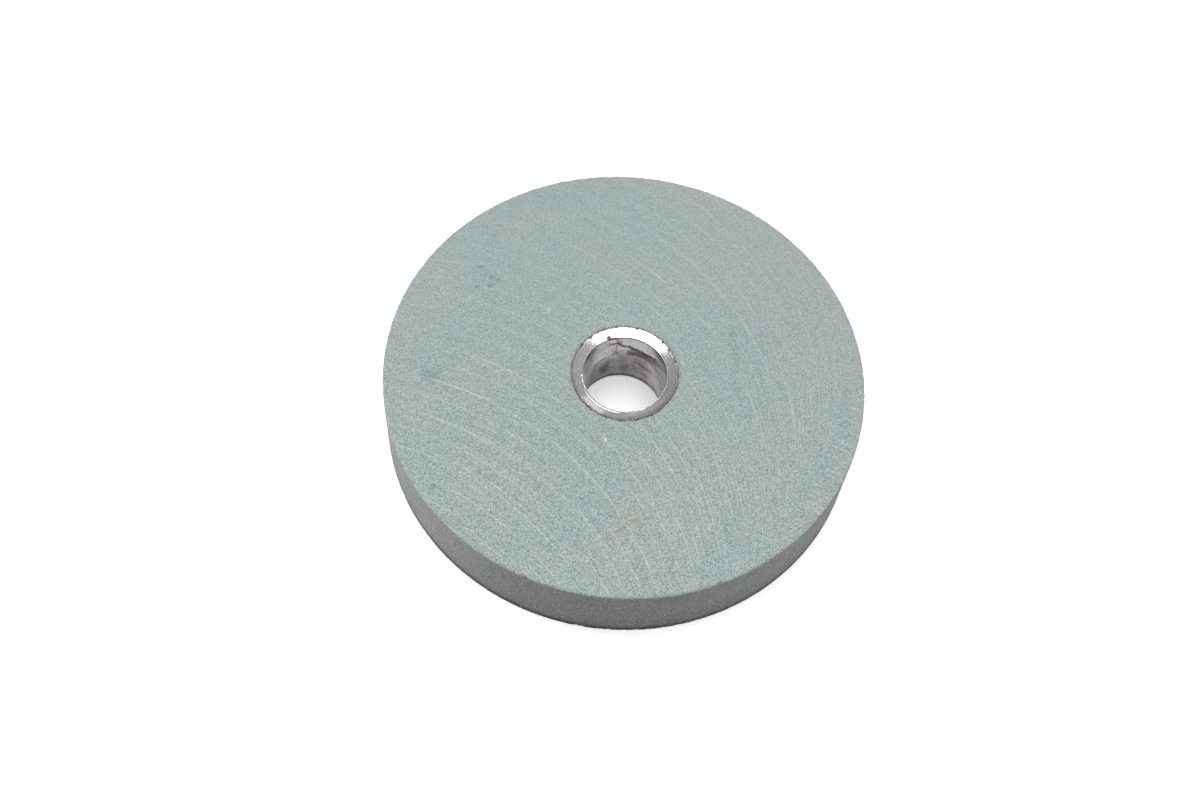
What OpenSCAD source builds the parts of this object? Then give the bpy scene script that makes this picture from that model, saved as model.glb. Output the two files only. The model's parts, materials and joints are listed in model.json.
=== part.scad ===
// Lapidary grinding wheel: a bonded abrasive disc on a cast metal arbor bush.
// It lies flat. +Z is the spindle axis, and the origin is the centre of the bore at the lower face.

/* [Abrasive wheel] */
// Outside diameter of the wheel
wheel_d = 145; // [100:1:205]
// Width of the grinding rim, which is the thickness of the wheel
wheel_w = 25.4; // [16:0.1:40]
// Bevel that breaks the two outer edges
edge_bevel = 0.3; // [0.1:0.1:1.5]

/* [Arbor bush] */
// Bore that slides on to the spindle
bore_d = 25.4; // [20:0.1:27]
// Outside diameter of the bush
bush_d = 32; // [30:0.5:40]
// How far each end of the bush sits below the wheel's face, so that flanges clamp the abrasive
bush_inset = 0.2; // [0.1:0.1:0.5]
// How deep each end of the bush is dished towards the bore
dish_depth = 0.9; // [0.3:0.1:2]
// Keying grooves round the outside of the bush
key_count = 2; // [1:1:3]
// Width of a keying groove
key_w = 3; // [1:0.5:3]
// Depth of a keying groove
key_depth = 0.6; // [0.2:0.1:0.8]

/* [Bonding cement] */
// Radial thickness of the cement film between the bush and the wheel
cement_t = 0.2; // [0.1:0.1:1]
// How far the cement stops below each face of the wheel
cement_inset = 0.4; // [0.1:0.1:1]

/* [Hidden] */
wheel_r = wheel_d / 2;
bore_r = bore_d / 2;
bush_r = bush_d / 2;
hole_r = bush_r + cement_t;
key_pitch = wheel_w / (key_count + 1);
$fn = 180;

// The outer wall of the bush where it is grooved, as [radius, height] points from the lowest groove up
function keyed_wall() = [
    for (i = [1 : key_count])
        let (low = key_pitch * i - key_w / 2, high = low + key_w, floor_r = bush_r - key_depth)
            each [[bush_r, low], [floor_r, low], [floor_r, high], [bush_r, high]]
];

function reversed(points) = [for (i = [len(points) - 1 : -1 : 0]) points[i]];

// Disc of bonded grit, with a plain hole that takes the bush
module abrasive_wheel() {
    color("#a5b2ae")
        rotate_extrude()
            polygon([
                [hole_r, 0],
                [wheel_r - edge_bevel, 0],
                [wheel_r, edge_bevel],
                [wheel_r, wheel_w - edge_bevel],
                [wheel_r - edge_bevel, wheel_w],
                [hole_r, wheel_w],
            ]);
}

// Thin sleeve of cement that fills the bush's grooves and holds it in the wheel
module bush_cement() {
    color("#4b3d33")
        rotate_extrude()
            polygon(concat(
                [[hole_r, cement_inset], [hole_r, wheel_w - cement_inset], [bush_r, wheel_w - cement_inset]],
                reversed(keyed_wall()),
                [[bush_r, cement_inset]]
            ));
}

// Cast sleeve with a straight bore, dished ends and grooves that key it into the cement
module arbor_bush() {
    color("#b9b9bd")
        rotate_extrude()
            polygon(concat(
                [[bore_r, bush_inset + dish_depth], [bush_r, bush_inset]],
                keyed_wall(),
                [[bush_r, wheel_w - bush_inset], [bore_r, wheel_w - bush_inset - dish_depth]]
            ));
}

abrasive_wheel();
bush_cement();
arbor_bush();
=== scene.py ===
import json
import math

import bpy
import numpy as np
from mathutils import Matrix, Vector, noise


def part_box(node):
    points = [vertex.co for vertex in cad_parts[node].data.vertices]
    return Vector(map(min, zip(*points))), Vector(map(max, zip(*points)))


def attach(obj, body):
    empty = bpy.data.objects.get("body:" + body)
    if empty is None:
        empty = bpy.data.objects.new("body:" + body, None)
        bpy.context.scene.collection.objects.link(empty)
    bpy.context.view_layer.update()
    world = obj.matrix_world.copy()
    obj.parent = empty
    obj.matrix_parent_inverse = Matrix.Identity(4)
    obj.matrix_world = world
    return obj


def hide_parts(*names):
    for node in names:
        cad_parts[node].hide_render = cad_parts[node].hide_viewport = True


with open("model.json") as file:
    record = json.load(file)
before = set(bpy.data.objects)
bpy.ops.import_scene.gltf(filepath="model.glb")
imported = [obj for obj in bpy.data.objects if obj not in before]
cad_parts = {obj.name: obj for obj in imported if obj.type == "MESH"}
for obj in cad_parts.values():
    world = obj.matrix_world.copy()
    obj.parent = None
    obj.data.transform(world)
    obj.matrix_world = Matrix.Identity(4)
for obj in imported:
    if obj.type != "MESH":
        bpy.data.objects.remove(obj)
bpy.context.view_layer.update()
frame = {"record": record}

# ---------------------------------------------------------------- sizes
# Lengths are in millimetres and angles in degrees. Azimuth 0 is +X and 90 is +Y.

MM = 0.001
WHEEL_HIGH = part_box("abrasive_wheel")[1] / MM
BUSH_LOW, BUSH_HIGH = (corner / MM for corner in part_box("arbor_bush"))
CEMENT_LOW, CEMENT_HIGH = (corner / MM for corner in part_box("bush_cement"))
BORE = next(m for m in frame["record"]["mounts"] if m["name"] == "arbor_bore")

RIM_R = WHEEL_HIGH.x
TOP = WHEEL_HIGH.z
MIDDLE = TOP / 2
HOLE_R = CEMENT_HIGH.x
BUSH_R = BUSH_HIGH.x
BORE_R = BORE["dims"]["r_mm"]
BUSH_INSET = BUSH_LOW.z
CEMENT_INSET = CEMENT_LOW.z
DISH = (BUSH_HIGH.z - BUSH_LOW.z - BORE["dims"]["length_mm"]) / 2

# The hidden keying grooves of the bush, as in the CAD
KEY_COUNT = 2
KEY_WIDTH = 3.0
KEY_DEPTH = 0.6

SHARP_ANGLE = 38.0

RANDOM = np.random.default_rng(716)


# ---------------------------------------------------------------- mesh tools

def graded(length, first, growth, largest):
    """Places from 0 to length, closest together near both ends."""
    half = [0.0]
    step = first
    while half[-1] + step < length / 2:
        half.append(half[-1] + step)
        step = min(step * growth, largest)
    return np.array(half + [length - place for place in reversed(half)])


def side(start, end, places):
    """Profile points from start towards end, leaving out the end itself."""
    start, end = np.array(start), np.array(end)
    direction = (end - start) / np.linalg.norm(end - start)
    return start + np.outer(places[:-1], direction)


def turned(profile, steps):
    """Sweeps (radius, height) points round the axis. Returns the radii, heights and azimuths of all points,
    with one row for each point of the profile."""
    azimuth = np.radians(np.arange(steps) * 360 / steps)
    radius = np.repeat(profile[:, :1], steps, axis=1)
    height = np.repeat(profile[:, 1:], steps, axis=1)
    return radius, height, np.broadcast_to(azimuth, radius.shape)


def to_points(radius, height, azimuth):
    return np.stack([radius * np.cos(azimuth), radius * np.sin(azimuth), height], axis=-1)


def lumps(points, size, seed):
    """Smooth noise, mostly from -0.6 to 0.6, with lumps of about that size."""
    offset = Vector((seed * 7.31, seed * 3.77, seed * 5.13))
    values = [noise.noise(Vector(point) / size + offset) for point in points.reshape(-1, 3).tolist()]
    return np.array(values).reshape(points.shape[:-1])


def bell(distance, width):
    """1 at no distance, and near 0 beyond twice the width."""
    return np.exp(-((distance / width) ** 2))


def rising(value, low, high):
    """0 below low, rising smoothly to 1 at high."""
    share = np.clip((value - low) / (high - low), 0, 1)
    return share * share * (3 - 2 * share)


def falling(value, low, high):
    """1 below low, falling smoothly to 0 at high."""
    return 1 - rising(value, low, high)


def weighted(*layers):
    """The sum of some layers, each given as its weight and its values."""
    return sum(weight * values for weight, values in layers)


def apart(azimuth, centre):
    """How far an azimuth in radians is from a centre in degrees, in degrees from -180 to 180."""
    return (np.degrees(azimuth) - centre + 180) % 360 - 180


def ring_piece(name, points, band_materials, attributes=None):
    """A closed ring through a grid of points, whose rows go round the profile and whose columns go round
    the axis. band_materials gives the material of each band between one row and the next."""
    rows, steps = points.shape[:2]
    here = np.arange(rows * steps).reshape(rows, steps)
    below = np.roll(here, -1, axis=0)
    quads = np.stack([here, below, np.roll(below, -1, axis=1), np.roll(here, -1, axis=1)], axis=-1)
    mesh = bpy.data.meshes.new(name)
    mesh.from_pydata((points.reshape(-1, 3) * MM).tolist(), [], quads.reshape(-1, 4).tolist())
    kinds = list(dict.fromkeys(band_materials))
    for material in kinds:
        mesh.materials.append(material)
    slots = np.repeat([kinds.index(material) for material in band_materials], steps)
    mesh.polygons.foreach_set("material_index", slots.astype(np.int32))
    mesh.polygons.foreach_set("use_smooth", np.ones(rows * steps, bool))
    for key, values in (attributes or {}).items():
        layer = mesh.attributes.new(key, "FLOAT", "POINT")
        layer.data.foreach_set("value", values.reshape(-1).astype(np.float32))
    mesh.validate()
    mesh.set_sharp_from_angle(angle=math.radians(SHARP_ANGLE))
    mesh.update()
    piece = bpy.data.objects.new(name, mesh)
    bpy.context.scene.collection.objects.link(piece)
    return piece


def hand_over(piece, node):
    """The piece stands for a CAD node of the one rigid body."""
    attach(piece, "root")
    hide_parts(node)


# ---------------------------------------------------------------- material tools

class Shader:
    """A short way to write one material's nodes. Sockets and plain values mix freely as inputs."""

    def __init__(self, name):
        self.material = bpy.data.materials.new(name)
        self.material.use_nodes = True
        self.tree = self.material.node_tree
        self.tree.nodes.clear()
        self.surface = self.tree.nodes.new("ShaderNodeBsdfPrincipled")
        output = self.tree.nodes.new("ShaderNodeOutputMaterial")
        self.tree.links.new(self.surface.outputs["BSDF"], output.inputs["Surface"])
        here = self.node("TexCoord").outputs["Object"]
        self.place = self.vector("SCALE", here, scale=1 / MM)
        split = self.node("SeparateXYZ", {"Vector": self.place})
        self.x, self.y, self.z = split.outputs

    def plug(self, socket, value):
        if isinstance(value, bpy.types.NodeSocket):
            self.tree.links.new(value, socket)
        elif isinstance(value, tuple) and socket.type == "RGBA":
            socket.default_value = (*value, 1.0)
        else:
            socket.default_value = value

    def node(self, kind, inputs=None, **settings):
        made = self.tree.nodes.new("ShaderNode" + kind)
        for key, value in settings.items():
            setattr(made, key, value)
        for key, value in (inputs or {}).items():
            self.plug(made.inputs[key], value)
        return made

    def math(self, operation, *values, clamp=False):
        made = self.node("Math", dict(enumerate(values)), operation=operation, use_clamp=clamp)
        return made.outputs[0]

    def total(self, *values):
        result = values[0]
        for value in values[1:]:
            result = self.math("ADD", result, value)
        return result

    def product(self, *values):
        result = values[0]
        for value in values[1:]:
            result = self.math("MULTIPLY", result, value)
        return result

    def vector(self, operation, *values, scale=None):
        inputs = dict(enumerate(values))
        if scale is not None:
            inputs["Scale"] = scale
        made = self.node("VectorMath", inputs, operation=operation)
        return made.outputs["Value" if operation in ("LENGTH", "DOT_PRODUCT") else "Vector"]

    def radius(self):
        """How far the place is from the axis."""
        return self.vector("LENGTH", self.vector("MULTIPLY", self.place, (1.0, 1.0, 0.0)))

    def reach(self, azimuth, place=None):
        """How far a place lies out from the axis in the direction of an azimuth."""
        turn = math.radians(azimuth)
        direction = (math.cos(turn), math.sin(turn), 0.0)
        return self.vector("DOT_PRODUCT", self.place if place is None else place, direction)

    def elsewhere(self, x, y, z):
        """The place moved aside, so that another noise has a pattern of its own."""
        return self.vector("ADD", self.place, (x, y, z))

    def fade(self, value, low, high, start=0.0, end=1.0):
        """Goes smoothly from start to end as the value goes from low to high."""
        inputs = {"Value": value, "From Min": low, "From Max": high, "To Min": start, "To Max": end}
        return self.node("MapRange", inputs, interpolation_type="SMOOTHSTEP").outputs["Result"]

    def noise(self, vector, size, detail=2.0, roughness=0.5):
        """Smooth noise from 0 to 1 with lumps of about that size."""
        inputs = {"Vector": vector, "Scale": 1 / size, "Detail": detail, "Roughness": roughness}
        return self.node("TexNoise", inputs).outputs["Fac"]

    def grains(self, vector, size):
        """Three random values from 0 to 1 that are even over each grain of about that size."""
        cells = self.node("TexVoronoi", {"Vector": vector, "Scale": 1 / size})
        return self.node("SeparateColor", {"Color": cells.outputs["Color"]}).outputs

    def mix(self, share, first, second, blend="MIX"):
        made = self.node("Mix", data_type="RGBA", blend_type=blend, clamp_result=False)
        factor, a, b = (s for s in made.inputs if s.enabled)
        self.plug(factor, share)
        self.plug(a, first)
        self.plug(b, second)
        return next(s for s in made.outputs if s.enabled)

    def bright(self, colour, amount):
        """The colour made brighter or darker by a factor."""
        return self.vector("SCALE", colour, scale=amount)

    def joined(self, x, y, z=0.0):
        return self.node("CombineXYZ", {"X": x, "Y": y, "Z": z}).outputs[0]

    def bump(self, height, strength, distance):
        """Height is in units of distance, which is in millimetres."""
        inputs = {"Height": height, "Strength": strength, "Distance": distance * MM}
        return self.node("Bump", inputs).outputs["Normal"]

    def finish(self, **sockets):
        for key, value in sockets.items():
            self.plug(self.surface.inputs[key.replace("_", " ")], value)
        return self.material


# ---------------------------------------------------------------- abrasive material

FACE_COLOUR = (0.297, 0.381, 0.368)
RIM_COLOUR = (0.172, 0.172, 0.157)
RIM_COOL = (0.155, 0.168, 0.162)
RIM_WARM = (0.178, 0.166, 0.145)
TEAL = (0.215, 0.335, 0.345)
DARK_TEAL = (0.185, 0.300, 0.305)
BLUE_GREY = (0.275, 0.350, 0.375)
CREAM = (0.620, 0.610, 0.520)
BEIGE = (0.400, 0.385, 0.330)
GREENER = (0.300, 0.385, 0.345)
PINKISH = (0.390, 0.370, 0.345)
ORANGE = (0.420, 0.200, 0.075)
BROWN = (0.190, 0.135, 0.090)
OLIVE = (0.180, 0.200, 0.150)
UMBER = (0.262, 0.262, 0.212)
SOOT = (0.075, 0.060, 0.070)

COARSE_GRAIN = 0.42
FINE_GRAIN = 0.24

# The face was ground by a cup wheel as it passed across, so its marks are arcs of one radius, each shifted
# by the feed from the one before. "Across" is a place's distance along the feed, and "along" its distance on
# the arc that goes through it. SWEEP_LINE is the azimuth of the feed, and SWEEP_OFFSET is how far the wheel's
# axis was beside the line that the cup wheel's axis moved on.
SWEEP_RADIUS = 99.0
SWEEP_LINE = 69.0
SWEEP_OFFSET = 34.0
FEED = 6.09
FEED_START = -126.4
FEED_WANDER = 0.16
FEED_WAVE = 0.008
MARK_EDGE = 0.34

# Layers of fine scratches: width, length, the noise level from which they show, strength
FINE_SCRATCHES = [
    (0.45, 14.0, 0.55, 0.60),
    (0.8, 24.0, 0.57, 0.36),
    (2.2, 36.0, 0.50, 0.10),
]

# The clearest scratches: across, where it starts and ends along the arc, strength
SCRATCHES = [
    (-149.3, -8.0, 10.0, 0.6), (-148.8, 10.0, 46.0, 0.9), (-142.8, -2.0, 37.0, 0.4),
    (-138.3, -14.0, 8.0, 0.9), (-137.7, 4.0, 30.0, 0.9), (-137.2, 28.0, 58.0, 0.9),
    (-131.5, -22.0, -7.0, 0.7), (-132.7, -2.0, 12.0, 0.6), (-126.5, -22.0, 18.0, 0.9),
    (-126.4, 18.0, 36.0, 0.5), (-126.3, 32.0, 58.0, 0.9), (-126.2, 60.0, 78.0, 0.5),
    (-118.9, -28.0, -6.0, 0.6), (-114.5, -11.0, 14.0, 0.5), (-102.2, -21.0, 0.0, 0.7),
    (-102.7, -1.0, 14.0, 0.7), (-95.0, -4.0, 12.0, 0.7), (-115.0, 51.0, 80.0, 0.4),
    (-108.3, 43.0, 60.0, 0.6), (-104.7, 66.0, 84.0, 0.5), (-104.6, 80.0, 95.0, 0.9),
    (-92.6, 60.0, 76.0, 0.6), (-93.5, 72.0, 101.0, 1.0), (-79.8, 51.0, 66.0, 0.9),
    (-80.6, 64.0, 84.0, 0.5), (-81.6, 76.0, 104.0, 0.7), (-59.1, 22.0, 40.0, 0.8),
    (-59.2, 38.0, 62.0, 0.7), (-60.2, 60.0, 80.0, 0.6), (-61.6, 80.0, 96.0, 0.5),
    (-53.5, -14.0, 14.0, 0.8), (-46.8, 8.0, 30.0, 0.5), (-46.8, 20.0, 76.0, 1.0),
    (-66.0, 8.0, 24.0, 0.4), (-78.0, -14.0, 20.0, 0.4), (-68.4, 95.0, 112.0, 0.5),
    (-54.2, 101.0, 120.0, 0.7), (-40.0, 92.0, 106.0, 0.6), (-38.0, 105.0, 130.0, 1.0),
    (-41.6, 22.0, 32.0, 0.6),
]

# Stains on the upper face: x, y, length, width, turn, colour, strength
STAINS = [
    (-58.0, -8.0, 6.0, 5.0, 0.0, DARK_TEAL, 0.75),
    (-44.0, 28.3, 7.0, 5.0, 0.0, SOOT, 0.05),
    (-43.8, 29.0, 2.2, 1.3, 10.0, SOOT, 0.24),
    (-41.6, 28.6, 2.2, 1.4, 0.0, SOOT, 0.26),
    (-43.8, 25.7, 2.6, 1.6, 15.0, SOOT, 0.34),
    (-47.7, 24.9, 2.6, 1.6, 25.0, SOOT, 0.28),
    (-47.4, 32.3, 2.6, 1.6, 0.0, SOOT, 0.28),
    (31.8, 17.6, 2.4, 2.8, 0.0, OLIVE, 0.48),
    (32.6, 10.0, 2.6, 17.0, 5.0, OLIVE, 0.20),
    (-0.9, -27.2, 1.0, 1.0, 0.0, SOOT, 0.55),
    (-4.0, -23.4, 1.4, 2.4, 25.0, CREAM, 0.50),
    (-25.0, 19.5, 0.8, 4.6, -20.0, CREAM, 0.55),
    (-0.8, -54.6, 4.2, 2.2, 42.0, UMBER, 0.42),
    (3.6, -51.0, 4.8, 2.6, 46.0, UMBER, 0.36),
    (3.6, -51.0, 4.0, 1.6, 46.0, SOOT, 0.06),
    (6.9, -47.9, 2.2, 1.8, 40.0, UMBER, 0.40),
    (6.9, -47.9, 2.0, 1.5, 40.0, SOOT, 0.16),
    (10.5, -46.4, 3.8, 2.2, 15.0, UMBER, 0.12),
    (3.0, -51.5, 20.0, 5.0, 46.0, BEIGE, 0.11),
    (8.0, -50.0, 44.0, 15.0, 62.0, BEIGE, 0.13),
    (-61.0, 25.0, 26.0, 16.0, 70.0, BEIGE, 0.24),
    (-67.0, 0.0, 36.0, 9.0, 88.0, PINKISH, 0.16),
    (-28.0, 60.0, 34.0, 10.0, 22.0, BLUE_GREY, 0.36),
    (64.0, -14.0, 40.0, 10.0, 80.0, BLUE_GREY, 0.26),
    (36.0, -58.0, 50.0, 14.0, 32.0, BLUE_GREY, 0.22),
    (50.0, 36.0, 90.0, 44.0, -48.0, PINKISH, 0.20),
    (14.0, 68.0, 50.0, 9.0, -8.0, BEIGE, 0.26),
    (61.0, -34.0, 16.0, 8.0, 60.0, BEIGE, 0.22),
    (-36.0, 50.0, 22.0, 12.0, 30.0, BEIGE, 0.20),
    (-22.0, -20.0, 66.0, 40.0, 60.0, GREENER, 0.20),
    (-32.0, 14.0, 50.0, 22.0, 40.0, GREENER, 0.30),
    (-22.7, -68.6, 3.6, 1.6, -18.0, ORANGE, 0.45),
]


def sweep_places(s, place):
    """For a place on the face: where it is across the sweep, and where along its arc."""
    off = s.math("ADD", s.reach(SWEEP_LINE - 90, place), SWEEP_OFFSET)
    inside = s.math("SUBTRACT", SWEEP_RADIUS**2, s.math("MULTIPLY", off, off))
    bulge = s.math("SQRT", s.math("MAXIMUM", inside, 1.0))
    across = s.math("SUBTRACT", s.reach(SWEEP_LINE, place), bulge)
    share = s.math("MINIMUM", s.math("DIVIDE", off, SWEEP_RADIUS), 1.0)
    along = s.math("MULTIPLY", s.math("ARCSINE", share), SWEEP_RADIUS)
    return across, along


def fine_scratches(s, across, along):
    """Many faint broken lines that follow the sweep. The two faces have patterns of their own."""
    depth = s.math("MULTIPLY", s.z, 2.0)
    layers = []
    for width, length, cut, strength in FINE_SCRATCHES:
        stretched = s.joined(s.math("DIVIDE", across, width), s.math("DIVIDE", along, length), depth)
        lines = s.noise(stretched, 1.0, detail=1.0)
        layers.append(s.fade(lines, cut, cut + 0.14, 0.0, strength))
    return s.total(*layers)


def feed_lines(s, across, along, pitch, least, most):
    """One broken line for each pass of the tool. It shows where a noise along its arc is above least,
    and in full above most."""
    passes = s.math("DIVIDE", s.math("SUBTRACT", across, FEED_START), pitch)
    number = s.math("ROUND", passes)
    chance = s.node("TexWhiteNoise", {"W": number}, noise_dimensions="1D").outputs["Value"]
    shift = s.math("MULTIPLY", s.math("SUBTRACT", chance, 0.5), FEED_WANDER)
    miss = s.math("ABSOLUTE", s.total(passes, s.math("MULTIPLY", number, -1.0), shift))
    line = s.fade(s.math("MULTIPLY", miss, pitch), 0.06, MARK_EDGE, 1.0, 0.0)
    own_place = s.joined(s.math("MULTIPLY", number, 3.7), s.math("DIVIDE", along, 19.0))
    seen = s.noise(own_place, 1.0, detail=1.0)
    return s.math("MULTIPLY", line, s.fade(seen, least, most))


def clear_scratches(s, across, along):
    """The scratches that are placed one by one."""
    result = 0.0
    for place, start, end, strength in SCRATCHES:
        miss = s.math("ABSOLUTE", s.math("SUBTRACT", across, place))
        line = s.fade(miss, 0.08, MARK_EDGE, strength, 0.0)
        half = (end - start) / 2
        from_middle = s.math("ABSOLUTE", s.math("SUBTRACT", along, start + half))
        length = s.fade(from_middle, half * 0.6, half * 1.1, 1.0, 0.0)
        result = s.math("MAXIMUM", result, s.math("MULTIPLY", line, length))
    return result


def stained(s, colour, wobbly, grain):
    """Tints the face in patches. The grains keep their own contrast."""
    for x, y, length, width, turn, tint, strength in STAINS:
        inputs = {
            "Vector": wobbly,
            "Location": (x, y, TOP),
            "Rotation": (0, 0, math.radians(turn)),
            "Scale": (length / 2, width / 2, 1.0),
        }
        local = s.node("Mapping", inputs, vector_type="TEXTURE").outputs[0]
        spot = s.fade(s.vector("LENGTH", local), 0.2, 1.4, strength, 0.0)
        ragged = s.product(spot, s.math("ADD", s.math("MULTIPLY", grain, 0.9), 0.55))
        ratio = tuple(part / base for part, base in zip(tint, FACE_COLOUR))
        colour = s.mix(ragged, colour, ratio, blend="MULTIPLY")
    return colour


def grain_tone(s, contrast):
    """How bright each grain is, about 1, and the random values of the coarse and the fine grains."""
    coarse = s.grains(s.place, COARSE_GRAIN)
    fine = s.grains(s.place, FINE_GRAIN)
    clumps = s.noise(s.place, 1.6, detail=2.0)
    spread = s.total(
        -0.53,
        s.math("MULTIPLY", coarse[0], 0.12),
        s.math("MULTIPLY", fine[0], 0.88),
        s.math("MULTIPLY", clumps, 0.06),
    )
    tone = s.math("ADD", s.math("MULTIPLY", spread, contrast), 1.0)
    return tone, coarse, fine


def grainy(s, colour, pale, dark, cool, contrast=1.0):
    """Sets grains of other colours into the colour: pale, dark and cool are the shares of each."""
    tone, coarse, fine = grain_tone(s, contrast)
    colour = s.bright(colour, tone)
    strong = s.math("MULTIPLY", contrast, 0.46)
    slight = s.math("MULTIPLY", contrast, 0.28)
    colour = s.mix(s.fade(fine[1], 1 - cool, 1 - cool + 0.05, 0.0, strong), colour, BLUE_GREY)
    colour = s.mix(s.fade(coarse[1], 1 - cool, 1 - cool + 0.05, 0.0, slight), colour, TEAL)
    colour = s.mix(s.fade(fine[2], 1 - pale, 1 - pale + 0.03, 0.0, strong), colour, CREAM)
    colour = s.mix(s.fade(coarse[2], 1 - dark, 1 - dark + 0.02, 0.0, slight), colour, BROWN)
    height = s.total(s.math("MULTIPLY", coarse[0], 0.5), s.math("MULTIPLY", fine[0], 0.5))
    return colour, height, coarse, fine


def ground_colour(s):
    """The face's colour under its grains: broad drifts, then finer warm and cool mottling."""
    drift = s.noise(s.place, 26.0, detail=3.0)
    second_drift = s.noise(s.elsewhere(90.0, 40.0, 20.0), 14.0, detail=3.0)
    colour = s.mix(s.fade(drift, 0.40, 0.65, 0.0, 0.16), FACE_COLOUR, BEIGE)
    colour = s.mix(s.fade(second_drift, 0.45, 0.70, 0.0, 0.14), colour, BLUE_GREY)
    # Painted shade: the face is painted slightly brighter at the front and darker towards the back.
    colour = s.bright(colour, s.fade(s.y, -RIM_R, -18.0, 1.02, 0.985))
    warmer = s.noise(s.elsewhere(20.0, 60.0, 10.0), 2.0)
    cooler = s.noise(s.elsewhere(70.0, 10.0, 30.0), 2.4)
    colour = s.mix(s.fade(warmer, 0.35, 0.65, 0.0, 0.14), colour, BEIGE)
    return s.mix(s.fade(cooler, 0.35, 0.65, 0.0, 0.20), colour, BLUE_GREY)


def tool_marks(s, across, along, grain, upper):
    """How clearly the tool's marks show, from 0 to 1. The grains break them up, and they are fainter
    towards the back."""
    patchy = s.fade(s.noise(s.place, 0.8, detail=2.0), 0.35, 0.58, 0.35, 1.0)
    broken = s.product(patchy, s.fade(grain, 0.1, 0.5, 0.5, 1.15))
    marks = s.total(
        s.math("MULTIPLY", fine_scratches(s, across, along), 0.46),
        s.math("MULTIPLY", feed_lines(s, across, along, FEED, 0.34, 0.54), 0.54),
        s.math("MULTIPLY", feed_lines(s, across, along, FEED / 3, 0.44, 0.61), 0.50),
        s.product(clear_scratches(s, across, along), upper, 0.70),
    )
    behind = s.fade(s.y, -20.0, 44.0, 0.86, 0.54)
    back_left = s.fade(s.reach(135), 22.0, 50.0, 1.0, 0.58)
    front_right = s.fade(s.reach(-45), 14.0, 48.0, 1.0, 1.35)
    return s.math("MULTIPLY", marks, s.product(broken, behind, back_left, front_right), clamp=True)


def dirt_beside_hole(s, colour):
    """Specks of rusty metal behind the hole, and dark grime all round it, mostly at the front right."""
    near_hole = s.fade(s.radius(), HOLE_R + 0.2, HOLE_R + 1.1, 1.0, 0.0)
    smear = s.fade(s.noise(s.place, 1.1, detail=2.0), 0.52, 0.60)
    behind = s.fade(s.y, HOLE_R * 0.55, HOLE_R * 0.85, 0.15, 1.0)
    colour = s.mix(s.product(near_hole, smear, behind, 0.45), colour, ORANGE)
    flecks = s.fade(s.noise(s.elsewhere(3.0, 8.0, 1.0), 0.55, detail=2.0), 0.50, 0.60, 0.2, 1.0)
    front_right = s.fade(s.reach(-45), -2.8, 12.7, 0.22, 0.60)
    beside_hole = s.fade(s.radius(), HOLE_R, HOLE_R + 1.2, 1.0, 0.0)
    return s.mix(s.product(beside_hole, front_right, flecks), colour, SOOT)


def abrasive_face():
    """The flat faces and the hole: pale grit, with tool marks and, on the upper face, stains."""
    s = Shader("abrasive_face")
    contrast = s.fade(s.y, -RIM_R * 0.7, RIM_R * 0.75, 1.06, 0.50)
    grains = grainy(s, ground_colour(s), pale=0.12, dark=0.03, cool=0.20, contrast=contrast)
    colour, height, coarse, fine = grains

    wander = s.node("TexNoise", {"Vector": s.place, "Scale": 1 / 2.5, "Detail": 2.0}).outputs["Color"]
    shift = s.vector("SCALE", s.vector("SUBTRACT", wander, (0.5, 0.5, 0.5)), scale=1.3)
    wobbly = s.vector("ADD", s.place, s.vector("MULTIPLY", shift, (1.0, 1.0, 0.0)))
    upper = s.fade(s.z, MIDDLE - 1, MIDDLE + 1)
    colour = s.mix(upper, colour, stained(s, colour, wobbly, fine[0]))

    across, along = sweep_places(s, s.vector("ADD", s.place, s.vector("SCALE", shift, scale=0.5)))
    from_start = s.math("SUBTRACT", across, FEED_START)
    wave = s.math("COSINE", s.math("MULTIPLY", from_start, math.tau / FEED))
    colour = s.bright(colour, s.math("ADD", s.math("MULTIPLY", wave, FEED_WAVE), 1.0))
    marks = tool_marks(s, across, along, coarse[0], upper)
    colour = s.mix(s.math("MULTIPLY", marks, 0.62), colour, CREAM)
    colour = dirt_beside_hole(s, colour)

    pores = s.noise(s.place, 0.25)
    relief = s.math("SUBTRACT", s.math("ADD", height, pores), s.math("MULTIPLY", marks, 0.8))
    normal = s.bump(relief, 0.45, 0.10)
    return s.finish(Base_Color=colour, Roughness=0.88, Specular_IOR_Level=0.25, Normal=normal)


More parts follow.
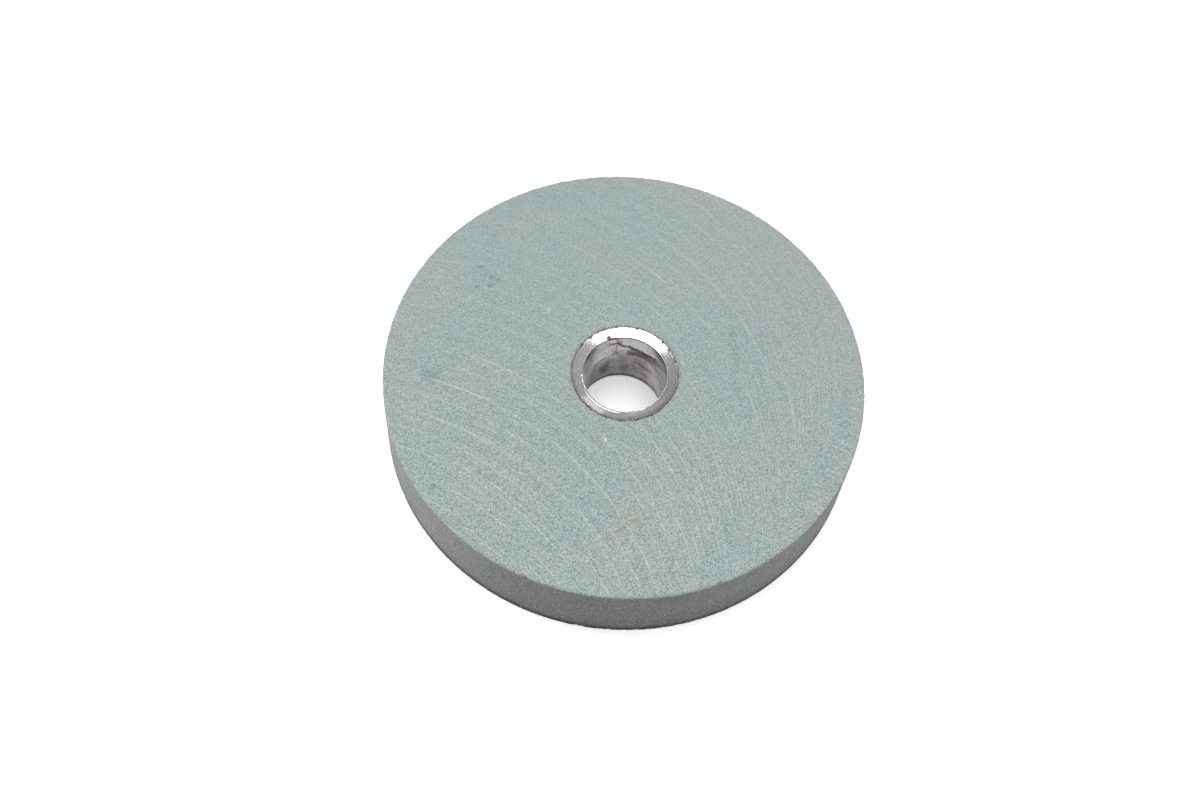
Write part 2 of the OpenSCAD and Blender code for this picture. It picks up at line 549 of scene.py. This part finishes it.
def abrasive_rim():
    """The grinding rim: the same grit, but greyer and dirtier, with painted light at its sides and painted
    shade low down.
    """
    s = Shader("abrasive_rim")
    arc = s.math("MULTIPLY", s.math("ARCTAN2", s.y, s.x), RIM_R)
    long_way = s.joined(s.math("DIVIDE", arc, 2.2), s.z)
    patches = s.noise(long_way, 5.0, detail=3.0)
    colour = s.mix(s.fade(patches, 0.42, 0.62), RIM_COLOUR, RIM_COOL)
    warm = s.noise(s.vector("ADD", long_way, (31.0, 17.0, 0.0)), 7.0, detail=3.0)
    colour = s.mix(s.fade(warm, 0.50, 0.66, 0.0, 0.5), colour, RIM_WARM)
    # Painted light: the rim's colour is raised towards its left and right sides, and more at the left than at
    # the right.
    sides = s.fade(s.math("ABSOLUTE", s.x), 4.0, 70.0, 1.0, 1.44)
    painted_light_from_left = s.fade(s.x, -60.0, 60.0, 0.965, 0.87)
    colour = s.bright(colour, s.math("MULTIPLY", sides, painted_light_from_left))

    # The upper edge is freshly worn. Painted shadow darkens the lower edge and thins out upwards, and painted
    # shade darkens the lower rim, more at the right.
    wobble = s.math("MULTIPLY", s.noise(s.place, 1.2, detail=3.0), 0.8)
    ragged_height = s.math("ADD", s.z, wobble)
    colour = s.mix(s.fade(ragged_height, TOP - 0.60, TOP), colour, FACE_COLOUR)
    colour = s.bright(colour, s.fade(ragged_height, 1.1, 4.6, 0.17, 1.0))
    rim_low_shade = s.fade(s.x, -20.0, 30.0, 0.97, 0.85)
    colour = s.bright(colour, s.fade(s.z, 2.0, 14.0, rim_low_shade, 1.0))

    colour, height, *_ = grainy(s, colour, pale=0.05, dark=0.08, cool=0.10)
    pores = s.noise(s.place, 0.3)
    normal = s.bump(s.math("ADD", height, pores), 0.7, 0.14)
    return s.finish(Base_Color=colour, Roughness=0.9, Specular_IOR_Level=0.25, Normal=normal)


# ---------------------------------------------------------------- abrasive wheel

WHEEL_STEPS = 1100

# How much of each sharp edge is worn away all round
UPPER_WEAR = 0.22
LOWER_WEAR = 0.25
HOLE_WEAR = 0.08

# Places where the edge of the rim has broken away: azimuth, length along the edge, size
UPPER_CHIPS = [
    (-108.0, 3.2, 0.9), (-63.5, 2.6, 0.9), (-132.0, 1.8, 0.6), (-20.0, 2.2, 0.5),
    (23.0, 3.4, 0.5), (38.0, 3.0, 0.45), (58.0, 3.0, 0.4),
]
LOWER_CHIPS = [
    (-95.0, 3.0, 0.9), (-12.0, 4.0, 1.1), (75.0, 2.6, 0.8), (128.0, 3.4, 1.0), (-150.0, 2.4, 0.7),
]
RANDOM_CHIPS = 80


def bevel_widths(azimuth, radius, chips, least):
    """How much of a sharp edge is worn away at each azimuth, with the given chips and many small ones."""
    small = [
        (RANDOM.uniform(-180, 180), RANDOM.uniform(0.7, 2.2), RANDOM.uniform(0.2, 0.48))
        for _ in range(RANDOM_CHIPS)
    ]
    widths = np.full(azimuth.shape, least)
    for centre, length, size in small + chips:
        distance = np.radians(apart(azimuth, centre)) * radius
        widths = np.maximum(widths, size * bell(distance, length / 2))
    return widths


def wear_edge(radius, height, azimuth, corner, outward, upward, widths, seed):
    """Cuts a ragged bevel off one corner of the profile. outward and upward are 1 or -1."""
    points = to_points(radius, height, azimuth)
    rough = 1 + 0.9 * lumps(points, 0.9, seed) + 0.5 * lumps(points, 0.4, seed + 1)
    from_corner = outward * (corner[0] - radius) + upward * (corner[1] - height)
    cut = np.maximum(widths * rough - from_corner, 0)
    return radius - outward * cut / 2, height - upward * cut / 2


def wheel_piece(face, rim):
    """The abrasive disc, with worn edges and a slightly uneven rim."""
    fine_places = dict(first=0.13, growth=1.5)
    across = graded(RIM_R - HOLE_R, largest=8.0, **fine_places)
    up = graded(TOP, largest=4.0, **fine_places)
    inside = graded(TOP, first=0.2, growth=2.2, largest=6.0)
    sides = [
        (side((HOLE_R, TOP), (RIM_R, TOP), across), face),
        (side((RIM_R, TOP), (RIM_R, 0), up), rim),
        (side((RIM_R, 0), (HOLE_R, 0), across), face),
        (side((HOLE_R, 0), (HOLE_R, TOP), inside), face),
    ]
    profile = np.concatenate([points for points, _ in sides])
    bands = [material for points, material in sides for _ in points]
    radius, height, azimuth = turned(profile, WHEEL_STEPS)
    around = azimuth[0]
    corners = [
        ((RIM_R, TOP), 1, 1, bevel_widths(around, RIM_R, UPPER_CHIPS, UPPER_WEAR), 1),
        ((RIM_R, 0), 1, -1, bevel_widths(around, RIM_R, LOWER_CHIPS, LOWER_WEAR), 4),
        ((HOLE_R, TOP), -1, 1, bevel_widths(around, HOLE_R, [], HOLE_WEAR), 7),
        ((HOLE_R, 0), -1, -1, bevel_widths(around, HOLE_R, [], HOLE_WEAR), 10),
    ]
    for corner, outward, upward, widths, seed in corners:
        radius, height = wear_edge(radius, height, azimuth, corner, outward, upward, widths, seed)
    points = to_points(radius, height, azimuth)
    on_rim = rising(radius, RIM_R - 1.5, RIM_R - 0.2)
    pits, hollows = np.abs(lumps(points, 1.1, 13)), np.abs(lumps(points, 6.0, 14))
    radius = radius - on_rim * (0.04 + 0.10 * pits + 0.06 * hollows)
    piece = ring_piece("abrasive_disc", to_points(radius, height, azimuth), bands)
    hand_over(piece, "abrasive_wheel")


# ---------------------------------------------------------------- cement

CEMENT_DARK = (0.095, 0.080, 0.078)
CEMENT_PALE = (0.270, 0.225, 0.205)
CEMENT_RUST = (0.330, 0.170, 0.080)
CEMENT_STEPS = 540


def cement_material():
    """Dark cement, rusty behind the bush."""
    s = Shader("cement")
    rough = s.noise(s.place, 0.5, detail=3.0)
    colour = s.mix(s.fade(rough, 0.35, 0.65), CEMENT_DARK, CEMENT_PALE)
    rusty = s.noise(s.elsewhere(5.0, 9.0, 2.0), 1.6, detail=2.0)
    behind = s.fade(s.y, HOLE_R * 0.55, HOLE_R * 0.85, 0.1, 1.0)
    colour = s.mix(s.product(s.fade(rusty, 0.50, 0.60), behind, 0.55), colour, CEMENT_RUST)
    normal = s.bump(rough, 0.8, 0.15)
    return s.finish(Base_Color=colour, Roughness=0.92, Specular_IOR_Level=0.2, Normal=normal)


def keyed_side(radius):
    """The side of the bush from bottom to top, with its keying grooves."""
    pitch = TOP / (KEY_COUNT + 1)
    points = []
    for number in range(1, KEY_COUNT + 1):
        low, high = pitch * number - KEY_WIDTH / 2, pitch * number + KEY_WIDTH / 2
        points += [(radius, low), (radius - KEY_DEPTH, low), (radius - KEY_DEPTH, high), (radius, high)]
    return points


def cement_piece(material):
    """The sleeve of cement, whose ends are sunk unevenly below the wheel's faces."""
    top, bottom = TOP - CEMENT_INSET, CEMENT_INSET
    end = np.linspace(BUSH_R, HOLE_R, 4)
    profile = [(r, top) for r in end] + [(HOLE_R, z) for z in np.linspace(top, bottom, 14)[1:-1]]
    profile += [(r, bottom) for r in reversed(end)] + keyed_side(BUSH_R)
    radius, height, azimuth = turned(np.array(profile), CEMENT_STEPS)
    points = to_points(radius, height, azimuth)
    from_middle = height - MIDDLE
    upward = np.sign(from_middle) * (np.abs(from_middle) > MIDDLE - CEMENT_INSET - 0.01)
    sunk = 0.30 * np.abs(lumps(points, 1.2, 21)) - 0.16 - 0.20 * np.abs(lumps(points, 2.5, 22))
    height = height - upward * sunk
    piece = ring_piece("bush_bond", to_points(radius, height, azimuth), [material] * len(profile))
    hand_over(piece, "bush_cement")


# ---------------------------------------------------------------- bush

BUSH_STEPS = 640
WALL_ROWS = 90
# The lip is a thin raised burr round the upper and lower ends of the bore
LIP_WIDTH = 0.30
LIP_RISE = 0.06
LIP_BEVEL = 0.12
# Profile points on the cone outside the ridge, as distances out from the lip
NEAR_LIP = [1.0, 0.85, 0.70]
# How far beyond the dish the rows of the bore's wall start
WALL_START = 0.32
# At the front left, the metal beside the lip is pushed up into a ridge. These are distances out from the lip.
RIDGE_INSIDE = 0.14
RIDGE_TOP = 0.22
RIDGE_MIDDLE = 0.42
RIDGE_OUTSIDE = 0.54
RIDGE_HEIGHT = 0.13

# The bush is cast. Its bore keeps cold laps, where the metal froze before it flowed together.
# Each line is a list of azimuth and depth below the wheel's upper face.
UPPER_LAP = [
    (122, 4.0), (115, 4.2), (108, 4.5), (100, 5.2), (95, 5.9), (84, 6.3), (72, 7.3), (64, 7.3), (60, 7.9),
    (48, 6.6), (36, 5.0), (20, 3.4), (0, 2.4),
]
LOWER_LAP = [(155, 14.6), (140, 13.0), (126, 11.8), (112, 11.0), (104, 10.4), (96, 9.6), (86, 9.0), (78, 8.6)]
PATCH_BOTTOM = [(96, 9.6), (86, 10.8), (74, 11.4), (62, 10.6), (50, 9.4), (38, 8.0)]


def depth_of(line, azimuth):
    """The depth of a line at each azimuth."""
    places = sorted(line)
    return np.interp(np.degrees(azimuth), [a for a, _ in places], [depth for _, depth in places])


def between(azimuth, low, high, soft):
    """1 inside a range of azimuth, fading to 0 outside it."""
    half = (high - low) / 2
    return falling(np.abs(apart(azimuth, (low + high) / 2)), half - soft, half + soft)


def bore_laps(azimuth, wavy):
    """How strongly the two laps that the photo shows, and the dark patch between them, show at each place."""
    upper_line = depth_of(UPPER_LAP, azimuth)
    lower_line = depth_of(LOWER_LAP, azimuth)
    patch_line = depth_of(PATCH_BOTTOM, azimuth)
    thick = 0.42 + 0.34 * bell(apart(azimuth, 97), 5) + 0.36 * bell(apart(azimuth, 70), 16)
    upper_lap = bell(wavy - upper_line, thick) * between(azimuth, 42, 116, 6)
    lower_reach = between(azimuth, 100, 138, 8) + 0.3 * between(azimuth, 80, 100, 6)
    lower_lap = bell(wavy - lower_line, 0.42) * lower_reach
    patch_top = np.minimum(lower_line, upper_line + 3.0 * rising(np.degrees(azimuth), 82, 92) + 0.3)
    patch = between(azimuth, 60, 90, 10) * rising(wavy, patch_top - 0.9, patch_top + 0.1)
    patch = patch * falling(wavy, patch_line - 0.6, patch_line + 1.2)
    return upper_lap, lower_lap, patch


def low_shade(azimuth, depth, wavy, coarse, points):
    """Below the lower lap the casting is darker, in soft upright streaks, with two darker spots."""
    lower_line = depth_of(LOWER_LAP, azimuth)
    left = rising(wavy, lower_line - 0.3, lower_line + 1.6) * between(azimuth, 78, 146, 12)
    middle = rising(wavy, 11.2, 13.5) * between(azimuth, 70, 100, 9)
    right = 0.62 * rising(wavy, 10.5, 13.0) * between(azimuth, 55, 90, 10)
    below = np.maximum(np.maximum(left, middle), right)
    upright = lumps(points * np.array([1.0, 1.0, 0.22]), 1.1, 37)
    shade = 0.45 + 0.17 * rising(depth, 12.5, 19.0) + 0.08 * upright + 0.20 * coarse
    left_spot = bell(apart(azimuth, 122), 12) * bell(wavy - 18.6, 3.2)
    right_spot = bell(apart(azimuth, 91), 8) * bell(wavy - 18.2, 3.4)
    return below * shade + 0.08 * (left_spot + right_spot)


def right_stains(azimuth, depth, wavy, points):
    """To the right, a dark band follows the upper lap, and brown streaks lie nearly level below it."""
    band = between(azimuth, 14, 58, 9) * bell(wavy - depth_of(UPPER_LAP, azimuth) - 1.8, 1.7)
    level_lines = lumps(points * np.array([0.30, 0.30, 1.5]), 1.9, 35)
    streaks = 0.6 + 1.2 * rising(level_lines, -0.1, 0.5)
    right_side = between(azimuth, -16, 74, 12) * rising(depth, 5.5, 9.5)
    return 0.30 * band + 0.20 * streaks * right_side


def bore_relief(radius, height, azimuth):
    """How far the bore's wall is cut back, how dark it is with dirt and painted shade, and how rusty it is.
    """
    points = to_points(radius, height, azimuth)
    depth = TOP - height
    coarse = lumps(points, 3.0, 31)
    fine = lumps(points, 0.9, 32)
    tiny = lumps(points, 0.4, 36)
    wavy = depth + 0.8 * coarse + 0.9 * fine + 0.6 * tiny

    upper_lap, lower_lap, patch = bore_laps(azimuth, wavy)
    stains = right_stains(azimuth, depth, wavy, points)
    upper_line = depth_of(UPPER_LAP, azimuth)
    below_upper_lap = rising(wavy, upper_line - 0.2, upper_line + 0.2) * between(azimuth, 8, 120, 6)
    # Painted shade: darker under the lip at the right, and down the left side of the wall.
    lip_shade = between(azimuth, -12, 48, 10) * falling(wavy, 1.6, 5.6)
    left_shade = between(azimuth, 140, 166, 12) * (0.42 + 0.34 * falling(depth, 2.6, 5.0))
    seam = bell(apart(azimuth, 104.5) + 1.5 * fine, 0.9) * falling(depth, 8.5, 10.5)
    brown_patch = bell(apart(azimuth, 99.5), 3.4) * bell(depth - 3.9, 1.5)
    brown_cloud = bell(apart(azimuth, 108), 12) * bell(depth - 7.5, 2.5)
    # Painted shadow along the bottom edge of the bore.
    bore_end = TOP - BUSH_INSET - DISH
    bottom_edge_shadow = rising(depth, bore_end - 1.5, bore_end - 0.2)

    # The side towards the camera isn't seen in the photo, so it has laps of its own
    hidden_side = between(azimuth, -176, -12, 10)
    own_laps = bell(lumps(points * np.array([1.0, 1.0, 2.2]), 7.0, 33), 0.035) * hidden_side

    cut = weighted(
        (0.10, below_upper_lap), (0.14, upper_lap), (0.10, lower_lap), (0.05, own_laps), (0.05, seam),
        (0.05, np.abs(coarse)), (0.05, np.abs(fine)), (0.03, np.abs(tiny)),
    )
    # Besides dirt, this holds painted shade: the dark along the laps is painted shadow in their crevices, and
    # lip_shade, left_shade, the bottom edge's shadow and the faint darkening at the right under the lip are
    # painted shade.
    dirt = 0.02 + weighted(
        (0.90, upper_lap), (0.62, lower_lap), (0.70, own_laps), (0.22, seam), (0.36, patch),
        (0.30, brown_patch), (1.00, stains), (0.75, lip_shade), (1.00, left_shade), (0.85, bottom_edge_shadow),
        (1.00, low_shade(azimuth, depth, wavy, coarse, points)), (0.08, between(azimuth, -20, 50, 8)),
        (0.10, np.abs(coarse)), (0.06, fine),
    )
    rust = 0.10 + weighted(
        (0.45, seam), (0.35, brown_patch), (0.30, brown_cloud), (0.50, patch), (1.00, stains),
    )
    return cut, np.clip(dirt, 0, 1), np.clip(rust, 0, 1)


def lip_damage(from_lip, radius, azimuth, points):
    """How far the upper lip and the metal beside it are pushed up or down, and how dark they are with dirt
    and painted shade.
    from_lip is the distance out from the lip, before the bore's wall is cut back."""
    # A gouge, the thin gap that runs from it behind the lip, and a burr
    gouge = bell(apart(azimuth, 115.5), 1.7) * falling(radius, BORE_R + 0.6, BORE_R + 1.3)
    gap = between(azimuth, 106, 114, 2) * falling(radius, BORE_R + 0.1, BORE_R + 0.45)
    burr = bell(apart(azimuth, 186), 1.8) * bell(radius - BORE_R - 0.15, 0.25)

    # At the left the lip's top slopes outwards, and at the front right it is uneven
    lip_top = bell(radius - BORE_R - LIP_BEVEL, 0.03)
    slope = 0.024 * between(azimuth, 184, 214, 6)
    uneven = (0.018 * lumps(points, 1.2, 46) - 0.002) * between(azimuth, 272, 332, 8)

    # The ridge is between those two, with painted shadow inside it, a line of painted shade outside it, and
    # dull ends
    ridge_side = between(azimuth, 210, 270, 8)
    ridge = np.interp(from_lip, [RIDGE_INSIDE, RIDGE_TOP, RIDGE_OUTSIDE], [0, 1, 0])
    inside_ridge = np.interp(from_lip, [-0.18, -0.02, RIDGE_INSIDE, RIDGE_TOP], [0.3, 1, 1, 0])
    outside_ridge = bell(from_lip - 0.86, 0.16)
    dull = 0.55 * (1 - between(azimuth, 222, 256, 14)) + 0.5 * np.abs(lumps(points, 1.0, 47))
    on_ridge = bell(from_lip - 0.38, 0.2)
    ridge_dirt_and_shade = 1.2 * inside_ridge + 0.35 * outside_ridge + dull * on_ridge

    # Painted shade along the back of the lip, where it meets the dark bore.
    back_lip = bell(from_lip + 0.15, 0.16)
    back = 0.48 * between(azimuth, 44, 128, 8) + 0.25 * between(azimuth, -16, 44, 8)
    rise = weighted(
        (-0.60, gouge), (-0.30, gap), (0.08, burr), (1.0, lip_top * (slope + uneven)),
        (RIDGE_HEIGHT, ridge * ridge_side),
    )
    dirt = weighted((0.8, gouge), (0.9, gap), (1.0, back_lip * back), (1.0, ridge_dirt_and_shade * ridge_side))
    return rise, dirt


def bush_profile():
    """Profile points from the top of the bush's outside, in over the dished end, down the bore and back up
    outside. Also tells which of them are turned, which is the two ends, and which are as cast."""
    slope = DISH / (BUSH_R - BORE_R)
    lip_outside = BORE_R + LIP_WIDTH
    lip_inside = BORE_R + LIP_BEVEL
    gaps = [*NEAR_LIP, RIDGE_OUTSIDE, RIDGE_MIDDLE, RIDGE_TOP, RIDGE_INSIDE, 0.0]
    radii = [*np.linspace(BUSH_R, lip_outside + 1.2, 9), *(lip_outside + gap for gap in gaps)]
    cone = [(r, slope * (BUSH_R - r)) for r in radii]
    lip_drop = cone[-1][1] - LIP_RISE
    lip = [
        (lip_outside - 0.02, lip_drop),
        (lip_inside, lip_drop),
        (BORE_R + 0.02, lip_drop + 0.10),
        (BORE_R + 0.01, DISH + 0.18),
    ]
    end = np.array([(r, drop + BUSH_INSET) for r, drop in cone + lip])
    wall_top = BUSH_INSET + DISH + WALL_START
    wall = [(BORE_R, depth) for depth in np.linspace(wall_top, TOP - wall_top, WALL_ROWS)]
    lower_end = [(r, TOP - depth) for r, depth in end[::-1]]
    outside = [(r, TOP - z) for r, z in keyed_side(BUSH_R)]
    profile = np.array([*end.tolist(), *wall, *lower_end, *outside])
    profile[:, 1] = TOP - profile[:, 1]
    is_turned = [True] * len(end) + [False] * len(wall) + [True] * len(lower_end) + [False] * len(outside)
    return profile, is_turned


def bush_piece(end_material, cast_material):
    """The bush, with its dished ends, its lips and the cast wall of its bore."""
    # The profile runs inwards over the upper end, so it is reversed to run the way that ring_piece expects
    profile, is_turned = (part[::-1] for part in bush_profile())
    radius, height, azimuth = turned(profile, BUSH_STEPS)
    points = to_points(radius, height, azimuth)
    from_lip = radius - BORE_R - LIP_WIDTH
    from_middle = height - MIDDLE
    on_end = np.abs(from_middle) > MIDDLE - BUSH_INSET - DISH - 0.3
    on_upper_end = on_end * (from_middle > 0)
    in_bore = falling(radius, BORE_R + 0.02, BORE_R + 0.35)

    cut, bore_dirt_and_shade, rust = bore_relief(radius, height, azimuth)
    radius = radius + in_bore * cut
    outer_edge = rising(radius, BUSH_R - 0.35, BUSH_R - 0.02) * on_end
    ragged = 0.30 * lumps(points, 1.3, 43) + 0.22 * lumps(points, 0.5, 44)
    radius = radius - outer_edge * np.clip(0.02 + ragged, 0, 0.25)

    ripple = 0.012 * np.abs(lumps(points, 2.0, 41))
    rise, lip_dirt_and_shade = lip_damage(from_lip, radius, azimuth, points)
    height = height - np.sign(from_middle) * on_end * ripple + on_upper_end * rise

    # Round the outer edge, dirt and painted shade darken the metal next to the cement, and a thin line of
    # painted shade darkens the bore's edge.
    outer_grime_and_shade = bell(BUSH_R - radius, 0.35) * np.clip(0.30 + 1.3 * lumps(points, 0.8, 45), 0, 1)
    outer_grime_and_shade = outer_grime_and_shade * (1 - 0.8 * between(azimuth, 56, 86, 8))
    bore_edge_shade = 0.45 * bell(radius - BORE_R - 0.03, 0.06)
    dirt = bore_dirt_and_shade * in_bore + on_end * (outer_grime_and_shade + bore_edge_shade) + on_upper_end * lip_dirt_and_shade

    band_materials = [end_material if here else cast_material for here in is_turned]
    attributes = {"dirt": np.clip(dirt, 0, 1), "rust": rust * in_bore}
    piece = ring_piece("cast_bush", to_points(radius, height, azimuth), band_materials, attributes)
    hand_over(piece, "arbor_bush")


METAL = (0.725, 0.715, 0.740)
METAL_DULL = (0.550, 0.550, 0.570)
METAL_CAST = (0.460, 0.455, 0.450)
METAL_DIRT_AND_SHADE = (0.050, 0.045, 0.040)
METAL_RUST = (0.230, 0.130, 0.070)
TARNISH = (0.330, 0.300, 0.330)


def turned_metal():
    """The bright dished ends, with fine rings left by the cutting tool."""
    s = Shader("turned_metal")
    # The attribute darkens the metal for dirt and for painted shade.
    dirt = s.node("Attribute", attribute_name="dirt").outputs["Fac"]
    radius = s.radius()
    around = s.math("MULTIPLY", s.math("ARCTAN2", s.y, s.x), 1.6)
    rings = s.noise(s.joined(s.math("DIVIDE", radius, 0.14), around, s.z), 1.0, detail=3.0)
    blotches = s.noise(s.place, 1.5, detail=3.0)
    colour = s.mix(s.fade(blotches, 0.35, 0.7, 0.0, 0.25), METAL, METAL_DULL)
    colour = s.bright(colour, s.math("ADD", s.math("MULTIPLY", rings, 0.45), 0.80))

    # The front of the dish is scuffed, except beside the lip at the front right, and tarnished further out
    pits = s.noise(s.place, 0.40, detail=3.0, roughness=0.7)
    front = s.fade(s.y, -12.0, 2.0, 1.0, 0.25)
    beside_lip = s.fade(radius, BORE_R + 1.4, BORE_R + 2.1, 1.0, 0.0)
    clean = s.math("MULTIPLY", s.fade(s.reach(-60), 11.4, 13.2), beside_lip)
    most_scuffed = s.math("SUBTRACT", 0.40, s.math("MULTIPLY", clean, 0.26))
    scuffed = s.product(front, s.fade(pits, 0.45, 0.68), most_scuffed)
    brightest = s.math("ADD", 1.06, s.math("MULTIPLY", clean, 0.16))
    colour = s.bright(colour, s.math("SUBTRACT", brightest, scuffed))
    outside = s.fade(radius, BORE_R + 1.7, BUSH_R - 0.1)
    colour = s.mix(s.product(outside, front, s.fade(pits, 0.30, 0.60), 0.65), colour, TARNISH)

    colour = s.mix(dirt, colour, METAL_DIRT_AND_SHADE)
    roughness = s.total(0.07, s.math("MULTIPLY", blotches, 0.08), s.math("MULTIPLY", dirt, 0.5))
    normal = s.bump(rings, 0.15, 0.005)
    return s.finish(Base_Color=colour, Metallic=1.0, Roughness=roughness, Normal=normal)


def cast_metal():
    """The bore and the hidden outside, as cast: dull, stained, darkened by dirt and painted shade, and a
    little rough.
    """
    s = Shader("cast_metal")
    dirt = s.node("Attribute", attribute_name="dirt").outputs["Fac"]
    rust = s.node("Attribute", attribute_name="rust").outputs["Fac"]
    blotches = s.noise(s.place, 2.2, detail=4.0)
    specks = s.noise(s.place, 0.45, detail=2.0)
    colour = s.mix(s.fade(blotches, 0.3, 0.7, 0.0, 0.5), METAL, METAL_CAST)
    colour = s.mix(s.math("MULTIPLY", rust, 0.8), colour, METAL_RUST)
    shade = s.math("MULTIPLY", dirt, s.math("ADD", s.math("MULTIPLY", specks, 0.5), 0.7), clamp=True)
    colour = s.mix(shade, colour, METAL_DIRT_AND_SHADE)
    metallic = s.fade(shade, 0.2, 0.9, 1.0, 0.35)
    roughness = s.total(0.30, s.math("MULTIPLY", blotches, 0.15), s.math("MULTIPLY", dirt, 0.25))
    normal = s.bump(s.total(specks, blotches), 0.35, 0.06)
    return s.finish(Base_Color=colour, Metallic=metallic, Roughness=roughness, Normal=normal)


# ---------------------------------------------------------------- studio

# The floor's half width and how far it is below the wheel, in metres
FLOOR_HALF = 12.0
FLOOR_DROP = 0.02 * MM
FLOOR_WHITE = (0.900, 0.900, 0.905)
FLOOR_WHITER = (0.910, 0.910, 0.915)


def studio_floor():
    """A plain floor that glows a little, as white as the photo's right up to the wheel."""
    mesh = bpy.data.meshes.new("studio_floor")
    signs = [(-1, -1), (1, -1), (1, 1), (-1, 1)]
    corners = [(x * FLOOR_HALF, y * FLOOR_HALF, -FLOOR_DROP) for x, y in signs]
    mesh.from_pydata(corners, [], [(0, 1, 2, 3)])
    floor = bpy.data.objects.new("studio_floor", mesh)
    s = Shader("studio_floor")
    white = s.mix(s.noise(s.place, 60.0), FLOOR_WHITE, FLOOR_WHITER)
    # The table is lit from below, apart from where the wheel covers it
    radius = s.vector("LENGTH", s.place)
    in_bore = s.fade(radius, BUSH_R, HOLE_R + 4.0, 0.24, 0.0)
    outside = s.fade(radius, RIM_R * 0.985, RIM_R, 0.0, 0.52)
    far_away = s.fade(radius, RIM_R * 5, RIM_R * 25, 0.0, 0.45)
    glow = s.total(in_bore, outside, far_away)
    surface = dict(Base_Color=white, Roughness=0.9, Emission_Color=(1.0, 1.0, 1.01), Emission_Strength=glow)
    mesh.materials.append(s.finish(**surface))
    bpy.context.scene.collection.objects.link(floor)


def softbox(name, place, width, depth, radiance, target=(0.0, 0.0, 0.0)):
    """A rectangular light, in metres, that faces the target. radiance is how bright its face looks."""
    data = bpy.data.lights.new(name, "AREA")
    data.shape = "RECTANGLE"
    data.size, data.size_y = width, depth
    data.energy = radiance * math.pi * width * depth
    light = bpy.data.objects.new(name, data)
    light.location = place
    light.rotation_euler = (Vector(target) - Vector(place)).to_track_quat("-Z", "Y").to_euler()
    light.visible_camera = False
    bpy.context.scene.collection.objects.link(light)


def towards(azimuth, elevation, distance):
    """The place at that distance from the origin, in metres."""
    a, e = math.radians(azimuth), math.radians(elevation)
    level = distance * math.cos(e)
    return (level * math.cos(a), level * math.sin(a), distance * math.sin(e))


def studio_world():
    """A grey room with a white horizon and pale low walls all round, a white sweep behind the object, and
    dark above the camera."""
    world = bpy.data.worlds.new("studio")
    bpy.context.scene.world = world
    world.use_nodes = True
    tree = world.node_tree
    tree.nodes.clear()
    new, link = tree.nodes.new, tree.links.new
    direction = new("ShaderNodeSeparateXYZ")
    link(new("ShaderNodeTexCoord").outputs["Generated"], direction.inputs[0])

    def level(axis, low, high, start, end):
        ranged = new("ShaderNodeMapRange")
        ranged.interpolation_type = "SMOOTHSTEP"
        link(direction.outputs[axis], ranged.inputs["Value"])
        for key, value in (("From Min", low), ("From Max", high), ("To Min", start), ("To Max", end)):
            ranged.inputs[key].default_value = value
        return ranged.outputs["Result"]

    def combine(operation, a, b):
        made = new("ShaderNodeMath")
        made.operation = operation
        link(a, made.inputs[0])
        link(b, made.inputs[1])
        return made.outputs[0]

    room = combine("ADD", level("Y", -0.7, 0.3, 0.06, 0.39), level("X", -0.5, 0.5, -0.03, 0.06))
    sweep = combine("MULTIPLY", level("Y", -0.1, 0.6, 0.0, 0.75), level("Z", 0.05, 0.60, 1.0, 0.0))
    walls = level("Z", 0.12, 0.36, 0.58, 0.0)
    horizon = level("Z", 0.19, 0.24, 1.02, 0.0)
    glow = combine("MAXIMUM", combine("ADD", room, sweep), combine("MAXIMUM", walls, horizon))
    background = new("ShaderNodeBackground")
    background.inputs["Color"].default_value = (1.0, 1.0, 1.015, 1.0)
    link(glow, background.inputs["Strength"])
    link(background.outputs[0], new("ShaderNodeOutputWorld").inputs[0])


# The camera, fitted to the photo's outline. The lens is in millimetres on a 36 mm wide frame, and the
# distance and the wheel's place in the frame are in rim radii.
CAMERA_ELEVATION = 61.59
CAMERA_ROLL = 5.85
CAMERA_LENS = 49.62
CAMERA_DISTANCE = 7.01
CAMERA_ASIDE = 0.0951
CAMERA_ABOVE = 0.0509


def studio_camera():
    elevation, roll = math.radians(CAMERA_ELEVATION), math.radians(CAMERA_ROLL)
    forward = Vector((0, math.cos(elevation), -math.sin(elevation)))
    level_right = Vector((1, 0, 0))
    level_up = level_right.cross(forward)
    right = level_right * math.cos(roll) + level_up * math.sin(roll)
    up = level_up * math.cos(roll) - level_right * math.sin(roll)
    away = right * CAMERA_ASIDE + up * CAMERA_ABOVE + forward * CAMERA_DISTANCE
    data = bpy.data.cameras.new("camera")
    data.sensor_width = 36.0
    data.lens = CAMERA_LENS
    data.clip_start = 0.01
    data.clip_end = 50.0
    camera = bpy.data.objects.new("camera", data)
    rotation = np.array([right, up, -forward]).T
    camera.matrix_world = Matrix(rotation.tolist()).to_4x4()
    camera.location = Vector((0, 0, MIDDLE * MM)) - away * RIM_R * MM
    bpy.context.scene.collection.objects.link(camera)
    bpy.context.scene.camera = camera


def studio_lights():
    """A large soft light above, a bright one low at the left and a faint one behind."""
    overhead = dict(place=(0.0, 0.035, 0.9), target=(0.0, 0.035, 0.0), width=0.60, depth=0.77)
    softbox("overhead_softbox", radiance=4.4, **overhead)
    softbox("left_softbox", place=towards(166, 15, 0.9), width=0.30, depth=0.34, radiance=10.8)
    softbox("right_panel", place=towards(74.5, 33, 1.2), width=0.21, depth=0.45, radiance=0.54)


# ---------------------------------------------------------------- build

studio_camera()
wheel_piece(abrasive_face(), abrasive_rim())
cement_piece(cement_material())
bush_piece(turned_metal(), cast_metal())
studio_floor()
studio_lights()
studio_world()
bpy.context.scene.view_settings.view_transform = "Standard"
